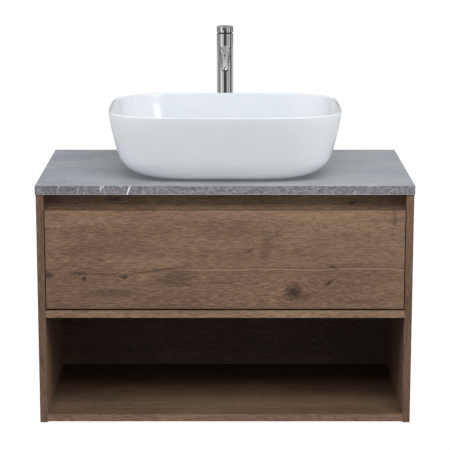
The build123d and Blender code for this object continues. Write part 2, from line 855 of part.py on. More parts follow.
def plug():
    """The click plug: a domed cap on a stem that slides in the waste's hub."""
    disc = upright(plug_radius, 0, basin_y, plug_low, plug_low + plug_thick)
    disc = fillet(disc.edges().group_by(Axis.Z)[-1], plug_thick * 0.7)
    foot_top = web_top - waste_web_height - plug_foot_height / 2
    stem = upright(plug_stem_radius, 0, basin_y, foot_top - plug_foot_height, plug_low)
    foot = upright(plug_foot_radius, 0, basin_y, foot_top - plug_foot_height, foot_top)
    return disc + stem + foot


def plug_spring():
    """The spring that lifts the plug, between the waste's hub and the plug."""
    low, high = web_top + spring_wire_radius, plug_low - spring_wire_radius - 0.2
    path = Pos(0, basin_y, low) * Helix((high - low) / spring_turns, high - low, spring_coil_radius)
    wire = Plane(origin=path @ 0, z_dir=path % 0) * Circle(spring_wire_radius)
    return sweep(wire, path)


# ---------------------------------------------------------------- bottle trap
def trap_nuts():
    """Ribbed nuts at the trap's inlet and outlet."""
    inlet = tube(trap_nut_radius, waste_thread_radius + hole_play, 0, basin_y, waste_end,
                 trap_nut_low + trap_nut_height)
    inlet += tube(trap_nut_radius, trap_tube_radius + hole_play, 0, basin_y, trap_nut_low, waste_end)
    middle = basin_y + trap_body_radius + trap_spigot
    start, end = middle - trap_nut_height / 2, middle + trap_nut_height / 2
    outlet = rod(outlet_nut_radius, (0, start, outlet_z), (0, end, outlet_z))
    outlet -= rod(trap_spigot_radius + hole_play, (0, start - 1, outlet_z), (0, middle, outlet_z))
    outlet -= rod(trap_tube_radius + hole_play, (0, start, outlet_z), (0, end + 1, outlet_z))
    inlet_grips, outlet_grips = [], []
    for turn in range(0, 360, 30):
        c, s = cos(radians(turn)), sin(radians(turn))
        inlet_grips.append(upright(trap_grip_radius, trap_nut_radius * c, basin_y + trap_nut_radius * s,
                                   trap_nut_low, trap_nut_low + trap_nut_height))
        spot = (outlet_nut_radius * c, outlet_z + outlet_nut_radius * s)
        outlet_grips.append(rod(trap_grip_radius, (spot[0], start, spot[1]), (spot[0], end, spot[1])))
    return gathered([cut(inlet, inlet_grips), cut(outlet, outlet_grips)])


def trap_inlet_tube():
    return tube(trap_tube_radius, trap_tube_radius - trap_tube_wall, 0, basin_y, trap_top - trap_dip, waste_end)


def trap_body():
    """The trap's upper shell, closed on top, with the spigot for the outlet."""
    shell = upright(trap_body_radius, 0, basin_y, trap_body_low, trap_top)
    shell = fillet(shell.edges().group_by(Axis.Z)[-1], 6)
    end = (0, basin_y + trap_body_radius + trap_spigot, outlet_z)
    shell += rod(trap_spigot_radius, (0, basin_y, outlet_z), end)
    shell -= upright(trap_body_radius - trap_wall, 0, basin_y, trap_body_low, trap_top - trap_wall)
    shell -= rod(trap_tube_radius + hole_play, (0, basin_y, outlet_z), end)
    return shell - upright(trap_tube_radius + hole_play, 0, basin_y, trap_body_low, trap_top)


def trap_cup():
    """The screw-off cup, with a grip rib round its foot."""
    high = trap_body_low
    low = high - trap_cup_height
    cup = upright(trap_cup_radius, 0, basin_y, low, high)
    cup = fillet(cup.edges().group_by(Axis.Z)[0], 8)
    hollow = upright(trap_cup_radius - trap_wall, 0, basin_y, low + trap_wall, high)
    hollow = fillet(hollow.edges().group_by(Axis.Z)[0], 6)
    lugs = []
    for turn in range(0, 360, 45):
        a = radians(turn)
        lugs.append(upright(2.5, (trap_cup_radius + 0.5) * cos(a), basin_y + (trap_cup_radius + 0.5) * sin(a),
                            high - 24, high - 4))
    return cut(cup, [hollow] + lugs)


def trap_outlet_tube():
    """The chrome tube to the wall, with a reduced end that pushes into the drain pipe."""
    start = basin_y + trap_body_radius + trap_spigot - 14
    outer = rod(trap_tube_radius, (0, start, outlet_z), (0, 0, outlet_z))
    outer += rod(outlet_end_radius, (0, 0, outlet_z), (0, outlet_past_wall, outlet_z))
    bore = rod(trap_tube_radius - 2 * trap_tube_wall, (0, start - 1, outlet_z), (0, outlet_past_wall + 1, outlet_z))
    return outer - bore


def wall_rosette():
    disc = rod(rosette_radius, (0, -rosette_depth, outlet_z), (0, 0, outlet_z))
    disc = fillet(disc.edges().group_by(Axis.Y)[0], 5)
    return disc - rod(trap_tube_radius + hole_play, (0, -rosette_depth - 1, outlet_z), (0, 1, outlet_z))


# ---------------------------------------------------------------- mixer tap
def tap_base_ring():
    ring = tube(tap_base_radius, tap_radius + hole_play, 0, tap_y, tap_foot, tap_foot + tap_base_height)
    return fillet(ring.edges().group_by(Axis.Z)[-1].sort_by(SortBy.LENGTH)[-1], 2)


def tap_base_seal():
    return tube(tap_base_radius - 0.5, sleeve_radius + hole_play, 0, tap_y, counter_top, tap_foot)


def spout_line():
    """The spout's axis: its root on the tap's axis and the centre of its tip."""
    slope = tan(radians(spout_fall))
    tip_z = spout_z - (spout_reach - tap_radius) * slope
    root_z = spout_z + tap_radius * slope
    return (0, tap_y, root_z), (0, tap_y - spout_reach, tip_z)


def spout_water():
    """The water's way from the waterway to the spout's mouth."""
    root, tip = spout_line()
    mouth = (tip[0], tip[1], tip[2] - spout_mouth)
    inner = rod(spout_root_radius - 2 * spout_wall, root, tip, spout_tip_radius - spout_wall)
    inner += Pos(*tip) * Sphere(spout_tip_radius - spout_wall)
    return inner + rod(spout_tip_radius - spout_wall + 0.6, tip, mouth)


def tap_body():
    shell = tube(tap_radius, body_bore, 0, tap_y, tap_foot, tap_top)
    shell = chamfer(shell.edges().group_by(Axis.Z)[-1].sort_by(SortBy.LENGTH)[-1], 0.3)
    return shell - spout_water()


def spout():
    root, tip = spout_line()
    mouth = (tip[0], tip[1], tip[2] - spout_mouth)
    shape = rod(spout_root_radius, root, tip, spout_tip_radius)
    shape += Pos(*tip) * Sphere(spout_tip_radius)
    shape += rod(spout_tip_radius, tip, mouth)
    shape -= upright(tap_radius, 0, tap_y, tap_foot, tap_top)
    return shape - spout_water()


def aerator_housing():
    """The black insert in the spout's mouth."""
    tip = spout_line()[1]
    mouth_z = tip[2] - spout_mouth
    outer = spout_tip_radius - spout_wall + 0.5
    shell = tube(outer, outer - aerator_wall, 0, tip[1], mouth_z - aerator_out, mouth_z + aerator_in)
    collar = tube(spout_tip_radius - 0.4, outer - aerator_wall, 0, tip[1], mouth_z - aerator_out, mouth_z)
    return shell + collar


def aerator_screen():
    tip = spout_line()[1]
    low = tip[2] - spout_mouth - aerator_out + screen_thick / 2
    radius = spout_tip_radius - spout_wall + 0.5 - aerator_wall
    screen = upright(radius, 0, tip[1], low, low + screen_thick)
    holes = [upright(0.6, x, tip[1] + y, low - 1, low + screen_thick + 1)
             for x in (-3.2, -1.6, 0, 1.6, 3.2) for y in (-3.2, -1.6, 0, 1.6, 3.2) if x * x + y * y < 12]
    return cut(screen, holes)


def waterway():
    """The brass block inside the tap that takes both hoses and feeds the cartridge and the spout."""
    core = upright(body_bore - hole_play, 0, tap_y, waterway_low, waterway_top)
    inlets = [upright(inlet_radius, side * inlet_spacing / 2, tap_y, waterway_low, waterway_low + inlet_depth)
              for side in SIDES]
    feeds = [upright(inlet_radius * 0.6, side * inlet_spacing / 2, tap_y, waterway_low, waterway_top)
             for side in SIDES]
    return cut(core, inlets + feeds + [spout_water()])


def cartridge_housing():
    """The ceramic cartridge's shell, open on top for the stem's carrier."""
    shell = upright(cartridge_radius, 0, tap_y, waterway_top, waterway_top + cartridge_height)
    pocket = upright(carrier_radius() + hole_play, 0, tap_y, carrier_low() - hole_play,
                     waterway_top + cartridge_height)
    return shell - pocket


def carrier_radius():
    return cartridge_radius - cartridge_wall


def carrier_low():
    return pivot_z - carrier_height + carrier_over_pin


def stem_carrier():
    """The turning part of the cartridge: a fork that holds the stem on its pin."""
    low = carrier_low()
    fork = upright(carrier_radius(), 0, tap_y, low, low + carrier_height)
    slot = block(-carrier_slot / 2, carrier_slot / 2, tap_y - carrier_radius() - 1, tap_y + carrier_radius() + 1,
                 low + 2, low + carrier_height)
    return fork - slot - pivot_pin_rod(pivot_pin_radius + hole_play)


def pivot_pin_rod(radius, spare=0):
    reach = carrier_radius() - 1.5 + spare
    return rod(radius, (-reach, tap_y, pivot_z), (reach, tap_y, pivot_z))


def cartridge_stem():
    """The square stem that tilts on the pin and carries the handle."""
    half = stem_width / 2
    bar = block(-half, half, tap_y - half, tap_y + half, pivot_z, stem_top)
    foot = rod(stem_foot_radius, (-half, tap_y, pivot_z), (half, tap_y, pivot_z))
    return bar + foot - pivot_pin_rod(pivot_pin_radius + pivot_play, 1)


def cartridge_nut():
    """The ring nut that clamps the cartridge, hidden in the top of the tap."""
    low = waterway_top + cartridge_height
    return tube(body_bore - hole_play, neck_hole_radius, 0, tap_y, low, tap_top - 1)


def neck_ring():
    """The dark ring that shows as a thin line between the body and the handle."""
    top = handle_low - 1.2
    return tube(neck_radius, neck_hole_radius, 0, tap_y, tap_top - 1, top)


def handle():
    """The cap of the lever handle, hollow below, with a boss for the stem."""
    top = counter_top + tap_height
    cap = upright(tap_radius, 0, tap_y, handle_low, top)
    cap = fillet(cap.edges().group_by(Axis.Z)[-1], handle_edge)
    hollow = upright(tap_radius - handle_skirt, 0, tap_y, handle_low, top - handle_top)
    boss = upright(boss_radius, 0, tap_y, top - handle_top - boss_drop, top - handle_top)
    socket = block(-stem_width / 2, stem_width / 2, tap_y - stem_width / 2, tap_y + stem_width / 2,
                   handle_low, stem_top)
    return cut(cap - hollow + boss, [socket, lever_rod(hole_play), grub_rod(hole_play)])


def lever_rod(play=0):
    """The pin lever, pointing forward and a little up from the handle's side."""
    z = handle_low + handle_height * lever_height_share
    way = Vector(0, -cos(radians(lever_tilt)), sin(radians(lever_tilt))).rotate(Axis.Z, -lever_turn)
    start = Vector(0, tap_y, z) + way * (lever_root - play)
    return rod(lever_radius + play, start, start + way * (lever_length + tap_radius - lever_root))


def lever_pin():
    pin = lever_rod()
    return fillet(pin.edges().sort_by(Axis.Y)[0], 0.8)


def grub_rod(play=0):
    z = handle_low + handle_height * grub_height_share
    return rod(grub_radius + play, (0, tap_y + stem_width / 2 + hole_play, z), (0, tap_y + tap_radius + play, z))


def handle_grub_screw():
    z = handle_low + handle_height * grub_height_share
    end = tap_y + tap_radius - 0.6
    screw_body = rod(grub_radius, (0, tap_y + stem_width / 2 + 2 * hole_play, z), (0, end, z))
    hexagon = Plane(origin=(0, end - 2, z), z_dir=(0, 1, 0)) * extrude(RegularPolygon(1.1, 6), 3)
    return screw_body - hexagon


def mounting_sleeve():
    """The threaded sleeve that passes through the counter and lets the hoses up."""
    low = carcass_top - sleeve_below_counter
    flange = tube(body_bore - hole_play, sleeve_bore_radius, 0, tap_y, tap_foot, tap_foot + 12)
    return flange + tube(sleeve_radius, sleeve_bore_radius, 0, tap_y, low, tap_foot)


def clamp_stack():
    """Heights of the rubber washer, the steel washer and the nut below the counter."""
    gasket_low = carcass_top - clamp_gasket_thick
    washer_low = gasket_low - clamp_washer_thick
    return gasket_low, washer_low, washer_low - clamp_nut_height


def clamp_gasket():
    return tube(clamp_radius, sleeve_radius + hole_play, 0, tap_y, clamp_stack()[0], carcass_top)


def clamp_washer():
    return tube(clamp_radius - 0.5, sleeve_radius + hole_play, 0, tap_y, clamp_stack()[1], clamp_stack()[0])


def clamp_nut():
    low, top = clamp_stack()[2], clamp_stack()[1]
    nut = Pos(0, tap_y, low) * extrude(RegularPolygon(clamp_nut_radius, 6), top - low)
    return nut - upright(sleeve_radius + hole_play, 0, tap_y, low - 1, top + 1)


# ---------------------------------------------------------------- the nodes
NODES = {
    "countertop": countertop,
    "side_panel_left": lambda: side_panel(-1),
    "side_panel_right": lambda: side_panel(1),
    "fixed_shelf": fixed_shelf,
    "bottom_panel": bottom_panel,
    "niche_back_panel": niche_back_panel,
    "finger_rail": finger_rail,
    "hanger_boards": hanger_boards,
    "wall_plates": wall_plates,
    "hanger_hooks": hanger_hooks,
    "cabinet_hangers": cabinet_hangers,
    "hanger_adjusters": hanger_adjusters,
    "dowels": lambda: gathered(dowel_rods(dowel_radius, 0)),
    "cam_locks": cam_locks,
    "cam_bolts": cam_bolts,
    "counter_brackets": counter_brackets,
    "carcass_screws": carcass_screws,
    "slide_rails_outer": slide_rails_outer,
    "slide_rails_middle": slide_rails_middle,
    "slide_rails_inner": slide_rails_inner,
    "drawer_front": drawer_front,
    "drawer_sides": lambda: gathered(drawer_side(side) for side in SIDES),
    "drawer_bottom": drawer_bottom,
    "drawer_back_boards": drawer_back_boards,
    "trap_surround": trap_surround,
    "front_angles": front_angles,
    "drawer_screws": drawer_screws,
    "basin": basin,
    "basin_seal": basin_seal,
    "waste_body": waste_body,
    "waste_gaskets": waste_gaskets,
    "waste_lock_nut": waste_lock_nut,
    "plug": plug,
    "plug_spring": plug_spring,
    "trap_nuts": trap_nuts,
    "trap_inlet_tube": trap_inlet_tube,
    "trap_body": trap_body,
    "trap_cup": trap_cup,
    "trap_outlet_tube": trap_outlet_tube,
    "wall_rosette": wall_rosette,
    "tap_base_ring": tap_base_ring,
    "tap_base_seal": tap_base_seal,
    "tap_body": tap_body,
    "spout": spout,
    "aerator_housing": aerator_housing,
    "aerator_screen": aerator_screen,
    "waterway": waterway,
    "cartridge_housing": cartridge_housing,
    "cartridge_nut": cartridge_nut,
    "neck_ring": neck_ring,
    "stem_carrier": stem_carrier,
    "pivot_pin": lambda: pivot_pin_rod(pivot_pin_radius),
    "cartridge_stem": cartridge_stem,
    "handle": handle,
    "lever_pin": lever_pin,
    "handle_grub_screw": handle_grub_screw,
    "mounting_sleeve": mounting_sleeve,
    "clamp_gasket": clamp_gasket,
    "clamp_washer": clamp_washer,
    "clamp_nut": clamp_nut,
}

os.makedirs("parts", exist_ok=True)
for name, make in NODES.items():
    export_step(make(), f"parts/{name}.step")
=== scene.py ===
"""Looks for a wall-hung vanity: oak cabinet, slate top, vessel basin and a tall chrome mixer tap.

Everything is in metres, in the CAD frame: +Z up, the wall at y = 0, the front facing -Y.
"""

import json
from math import cos, pi, radians, sin, sqrt, tan

import bmesh
import bpy
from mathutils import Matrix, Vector

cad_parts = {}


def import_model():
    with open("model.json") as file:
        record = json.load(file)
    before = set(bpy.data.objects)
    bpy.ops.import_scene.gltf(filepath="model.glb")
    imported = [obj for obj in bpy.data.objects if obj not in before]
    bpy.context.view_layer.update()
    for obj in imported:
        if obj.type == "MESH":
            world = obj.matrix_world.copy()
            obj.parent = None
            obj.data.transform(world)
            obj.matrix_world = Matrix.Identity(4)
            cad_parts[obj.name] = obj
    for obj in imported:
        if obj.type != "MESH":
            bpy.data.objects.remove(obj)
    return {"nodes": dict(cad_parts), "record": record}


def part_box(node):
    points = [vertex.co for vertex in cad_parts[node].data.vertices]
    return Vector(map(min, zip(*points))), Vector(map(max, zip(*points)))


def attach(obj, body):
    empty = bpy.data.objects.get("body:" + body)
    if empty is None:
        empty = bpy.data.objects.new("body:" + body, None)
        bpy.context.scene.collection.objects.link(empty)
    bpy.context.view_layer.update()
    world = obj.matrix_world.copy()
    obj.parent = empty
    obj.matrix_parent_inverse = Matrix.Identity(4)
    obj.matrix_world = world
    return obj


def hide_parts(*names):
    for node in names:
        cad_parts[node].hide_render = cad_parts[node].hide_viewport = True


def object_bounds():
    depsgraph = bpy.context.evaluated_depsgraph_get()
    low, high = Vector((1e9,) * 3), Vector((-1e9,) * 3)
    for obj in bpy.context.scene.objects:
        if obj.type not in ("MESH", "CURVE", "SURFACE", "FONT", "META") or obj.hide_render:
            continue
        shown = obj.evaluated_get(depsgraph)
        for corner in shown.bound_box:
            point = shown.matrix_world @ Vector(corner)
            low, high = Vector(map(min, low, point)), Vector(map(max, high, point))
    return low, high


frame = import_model()
cad_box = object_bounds()
nodes = frame["nodes"]
MM = 0.001
TAP_Y = -28 * MM                  # the tap's upright axis


# ---------------------------------------------------------------- shader writing
class Nodes:
    """A node tree with short calls for the nodes used here."""

    def __init__(self, tree):
        self.tree = tree

    def node(self, kind, **settings):
        made = self.tree.nodes.new(kind)
        for key, value in settings.items():
            setattr(made, key, value)
        return made

    def feed(self, value, socket):
        """Links an output to a socket, or sets the socket to a plain value."""
        if isinstance(value, bpy.types.NodeSocket):
            self.tree.links.new(value, socket)
        else:
            socket.default_value = value

    def math(self, operation, first, second=0.0, third=0.0):
        made = self.node("ShaderNodeMath", operation=operation)
        for socket, value in zip(made.inputs, (first, second, third)):
            self.feed(value, socket)
        return made.outputs[0]

    def vector(self, operation, first, second=(0, 0, 0)):
        made = self.node("ShaderNodeVectorMath", operation=operation)
        self.feed(first, made.inputs[0])
        self.feed(second, made.inputs[1])
        return made.outputs["Value" if operation in ("LENGTH", "DOT_PRODUCT") else "Vector"]

    def parts(self, vector):
        made = self.node("ShaderNodeSeparateXYZ")
        self.feed(vector, made.inputs[0])
        return made.outputs

    def join(self, x, y, z):
        made = self.node("ShaderNodeCombineXYZ")
        for socket, value in zip(made.inputs, (x, y, z)):
            self.feed(value, socket)
        return made.outputs[0]

    def noise(self, vector, stretch=(1, 1, 1), scale=1.0, detail=3.0, rough=0.5, warp=0.0):
        made = self.node("ShaderNodeTexNoise")
        self.feed(self.vector("MULTIPLY", vector, stretch), made.inputs["Vector"])
        for name, value in (("Scale", scale), ("Detail", detail), ("Roughness", rough), ("Distortion", warp)):
            made.inputs[name].default_value = value
        return made.outputs[0]

    def band(self, value, low, high, to_low=0.0, to_high=1.0):
        """A smooth step from to_low to to_high as value goes from low to high."""
        made = self.node("ShaderNodeMapRange", interpolation_type="SMOOTHSTEP")
        for socket, number in zip(made.inputs, (value, low, high, to_low, to_high)):
            self.feed(number, socket)
        return made.outputs[0]

    def ramp(self, value, stops):
        made = self.node("ShaderNodeValToRGB")
        self.feed(value, made.inputs[0])
        elements = made.color_ramp.elements
        while len(elements) < len(stops):
            elements.new(0.5)
        for element, (position, colour) in zip(elements, stops):
            element.position = position
            element.color = (*colour, 1)
        return made.outputs[0]

    def mix(self, factor, first, second, blend="MIX"):
        made = self.node("ShaderNodeMix", data_type="RGBA", blend_type=blend)
        self.feed(factor, made.inputs[0])
        for value, socket in ((first, made.inputs[6]), (second, made.inputs[7])):
            self.feed(value if isinstance(value, bpy.types.NodeSocket) else (*value, 1), socket)
        return made.outputs[2]


class Shader(Nodes):
    """A material: its node tree, its principled shader and the object's own coordinates."""

    def __init__(self, name):
        self.material = bpy.data.materials.new(name)
        self.material.use_nodes = True
        super().__init__(self.material.node_tree)
        self.bsdf = self.tree.nodes["Principled BSDF"]
        self.place = self.node("ShaderNodeTexCoord").outputs["Object"]

    def bump(self, height, strength, distance):
        made = self.node("ShaderNodeBump")
        self.feed(height, made.inputs["Height"])
        made.inputs["Strength"].default_value = strength
        made.inputs["Distance"].default_value = distance
        self.feed(made.outputs[0], self.bsdf.inputs["Normal"])

    def set(self, **values):
        """Feeds the principled shader's sockets, with _ for a space in their names."""
        for name, value in values.items():
            socket = self.bsdf.inputs[name.replace("_", " ")]
            self.feed(value, socket)
        return self.material

    def glow(self, dim, bright, cloud_scale, detail):
        """Makes the material give off light, a little cloudy between two brightnesses."""
        made = self.node("ShaderNodeEmission")
        cloud = self.noise(self.place, (cloud_scale,) * 3, 1, detail, 0.5)
        self.feed(self.mix(cloud, (dim,) * 3, (bright,) * 3), made.inputs["Color"])
        self.feed(made.outputs[0], self.tree.nodes["Material Output"].inputs["Surface"])
        return self.material


# ---------------------------------------------------------------- wood
OAK_RED = (0.203, 0.112, 0.073)
OAK_MID = (0.258, 0.152, 0.097)
OAK_GOLD = (0.316, 0.202, 0.121)
OAK_DARK = (0.095, 0.056, 0.038)
OAK_PORE = (0.070, 0.041, 0.029)
OAK_PALE = (0.392, 0.266, 0.174)
OAK_KNOT = (0.034, 0.023, 0.018)

# Knots, smudges and cracks: x, z, half length, half height in millimetres, slope, depth of tone. The grain
# bends round those as deep as KNOT_DEPTH.
KNOT_DEPTH = 0.8
FRONT_MARKS = (
    (-374, -113, 10, 6, 0, 0.9),
    (-299, -121, 5, 4.5, 0, 1.0),
    (-308, -110, 20, 4, 0, 0.7),
    (-213, -118, 7, 4, 0, 0.95),
    (-255, -112, 38, 2.2, 0, 0.6),
    (-140, -103, 55, 3, 0.14, 0.55),
    (-106, -121, 42, 14, 0.1, 0.48),
    (-239, -153, 55, 9, 0, 0.48),
    (146, -151, 17, 14, 0, 0.9),
    (222, -130, 12, 4, 0.7, 0.85),
    (229, -96, 11, 3, -0.3, 0.75),
    (88, -52, 12, 24, 0.3, 0.34),
    (104, -30, 20, 7, 0.5, 0.26),
    (53, -60, 10, 5, 0.5, 0.45),
    (358, 8, 5, 15, 0, 0.5),
    (-90, -135, 36, 2.2, 0.05, 0.45),
    (-14, -130, 28, 2, 0, 0.5),
    (300, -172, 42, 4, 0.04, 0.35),
)
RAIL_MARKS = ((-232, 43, 13, 4, 0, 0.6), (272, 36, 9, 4, 0.3, 0.7), (-390, 40, 30, 5, 0, 0.4))


def mark_tone(s, x, z, ragged, marks):
    """How dark the marks make a point of an upright face, from 0 to 1."""
    tone = 0.0
    for mx, mz, half_long, half_high, slope, depth in marks:
        dx = s.math("SUBTRACT", x, mx * MM)
        dz = s.math("SUBTRACT", s.math("SUBTRACT", z, mz * MM), s.math("MULTIPLY", dx, slope))
        reach = s.vector("LENGTH", s.join(s.math("DIVIDE", dx, half_long * MM), 0.0,
                                          s.math("DIVIDE", dz, half_high * MM)))
        tone = s.math("MAXIMUM", tone, s.band(s.math("ADD", reach, ragged), 0.25, 1.6, depth, 0))
    return tone


def oak(name, grain="X", marks=(), tone=1.0, gold=0.0, edge_tone=None, seam=False, painted_shade_up_tone=None):
    """Brushed oak whose grain runs along one axis.

    edge_tone is for faces towards the front. The up tone is painted shade: it darkens faces that look up or
    down, as less light falls on them. seam draws the long fine crack across the drawer front.
    """
    s = Shader(name)
    x, y, z = s.parts(s.place)
    along, across, deep = {"X": (x, z, y), "Y": (y, x, z), "Z": (z, x, y)}[grain]
    grain_place = s.join(along, deep, across)

    drift = s.noise(grain_place, (1.6, 5, 5), 1, 2, 0.5)
    lift = s.math("MULTIPLY", s.math("SUBTRACT", drift, 0.5), 0.10)
    for mx, mz, half_long, half_high, slope, depth in marks:
        if depth < KNOT_DEPTH:
            continue
        dx = s.math("SUBTRACT", x, mx * MM)
        dz = s.math("SUBTRACT", z, mz * MM)
        wide = s.vector("LENGTH", s.join(s.math("DIVIDE", dx, 3 * half_long * MM),
                                         0.0, s.math("DIVIDE", dz, 3.5 * half_high * MM)))
        lift = s.math("SUBTRACT", lift, s.math("MULTIPLY", s.band(wide, 0, 1.5, 0.7, 0), dz))
    bent = s.join(along, deep, s.math("ADD", across, lift))

    blotch = s.noise(bent, (2.4, 8, 8), 1, 4, 0.6)
    rings = s.noise(bent, (1.1, 34, 34), 1, 4, 0.65, 0.3)
    streak = s.noise(bent, (9, 190, 190), 1, 4, 0.7)
    fibre = s.noise(bent, (55, 640, 640), 1, 3, 0.65, 0.4)
    fleck = s.noise(s.place, (130, 260, 260), 1, 2, 0.6)
    pores = s.band(s.noise(bent, (26, 560, 560), 1, 2, 0.5), 0.60, 0.70)

    shade = s.math("ADD", blotch, gold)
    # Painted shade: darker towards the bottom and the left, lighter towards the top and the right, as the
    # light falls from the upper right.
    if grain == "X":
        shade = s.math("ADD", shade, s.band(z, -0.16, 0.03, -0.045, 0.045))
        shade = s.math("ADD", shade, s.band(x, -0.35, 0.40, -0.03, 0.03))
    colour = s.ramp(shade, ((0.34, OAK_RED), (0.50, OAK_MID), (0.64, OAK_GOLD)))
    colour = s.mix(s.band(rings, 0.38, 0.58, 0.30, 0), colour, OAK_DARK)
    colour = s.mix(s.band(streak, 0.34, 0.54, 0.30, 0), colour, OAK_DARK)
    colour = s.mix(s.band(streak, 0.52, 0.70, 0, 0.20), colour, OAK_GOLD)
    colour = s.mix(s.band(fibre, 0.34, 0.52, 0.72, 0), colour, OAK_DARK)
    colour = s.mix(s.band(fibre, 0.52, 0.68, 0, 0.62), colour, OAK_PALE)
    colour = s.mix(s.band(fleck, 0.34, 0.48, 0.25, 0), colour, OAK_DARK)
    colour = s.mix(s.math("MULTIPLY", pores, 0.5), colour, OAK_PORE)
    if seam:
        seam_height = -100.5 * MM
        wave = s.math("MULTIPLY", s.math("SUBTRACT", s.noise(s.place, (7, 1, 1), 1, 3, 0.6), 0.5), 16 * MM)
        off = s.math("SUBTRACT", s.math("ADD", z, wave), seam_height)
        start = s.band(x, -0.13, -0.04)
        pale = s.math("MULTIPLY", s.band(s.math("ABSOLUTE", off), 0.0006, 0.0022, 0.55, 0), start)
        dark = s.band(s.math("ABSOLUTE", s.math("SUBTRACT", off, 0.0030)), 0.0004, 0.0020, 0.50, 0)
        colour = s.mix(s.math("MULTIPLY", dark, start), colour, OAK_PORE)
        colour = s.mix(pale, colour, OAK_PALE)
    if marks:
        rough_edge = s.noise(s.place, (170, 170, 300), 1, 3, 0.65)
        ragged = s.math("MULTIPLY", s.math("SUBTRACT", rough_edge, 0.5), 1.9)
        colour = s.mix(mark_tone(s, x, z, ragged, marks), colour, OAK_KNOT)
    level = tone
    normal = s.parts(s.node("ShaderNodeNewGeometry").outputs["Normal"])
    if edge_tone:
        level = s.band(normal[1], -0.9, -0.6, edge_tone, tone)
    # Painted shade: faces that look up or down are made darker, as less light falls on them.
    if painted_shade_up_tone:
        level = s.math("ADD", level, s.band(s.math("ABSOLUTE", normal[2]), 0.6, 0.9, 0, painted_shade_up_tone - tone))
    if level != 1.0:
        colour = s.mix(1.0, colour, s.join(level, level, level), "MULTIPLY")
    relief = s.math("ADD", s.math("MULTIPLY", streak, 0.5), s.math("MULTIPLY", fibre, 0.5))
    relief = s.math("SUBTRACT", relief, s.math("MULTIPLY", pores, 0.5))
    s.bump(relief, 0.4, 0.0005)
    return s.set(Base_Color=colour, Roughness=s.band(streak, 0.3, 0.7, 0.62, 0.52), Specular_IOR_Level=0.3)


def board_material(name, base, speck):
    """Melamine-faced board: a faint linen print with a fine soft relief."""
    s = Shader(name)
    weave = s.noise(s.place, (500, 500, 500), 1, 2, 0.5)
    cloud = s.noise(s.place, (6, 6, 20), 1, 3, 0.5)
    colour = s.mix(s.band(weave, 0.35, 0.65, 0.0, 0.5), base, speck)
    colour = s.mix(s.band(cloud, 0.35, 0.7, 0, 0.35), colour, speck)
    s.bump(weave, 0.15, 0.0002)
    return s.set(Base_Color=colour, Roughness=s.band(cloud, 0.3, 0.7, 0.45, 0.55))


# ---------------------------------------------------------------- stone
STONE_DARK = (0.137, 0.154, 0.175)
STONE_MID = (0.184, 0.203, 0.224)
STONE_LIGHT = (0.231, 0.250, 0.267)
STONE_PALE = (0.36, 0.36, 0.385)
STONE_VEIN = (0.66, 0.66, 0.68)
EDGE_DARK = (0.115, 0.113, 0.124)
EDGE_LIGHT = (0.238, 0.234, 0.252)
EDGE_PATCH = (0.082, 0.081, 0.090)
EDGE_PIT = (0.05, 0.05, 0.056)
# The colour of a painted highlight along the lower arris of the stone's edge.
EDGE_ARRIS_HIGHLIGHT = (0.50, 0.45, 0.47)
# Veins across the edge: the noise's stretch, how wide a line is drawn from it, and where the line breaks off.
EDGE_VEINS = (((13, 4, 8), 0.009, 0.50), ((27, 6, 10), 0.012, 0.53), ((48, 9, 14), 0.012, 0.52))
BOLD_VEIN_X = -203 * MM


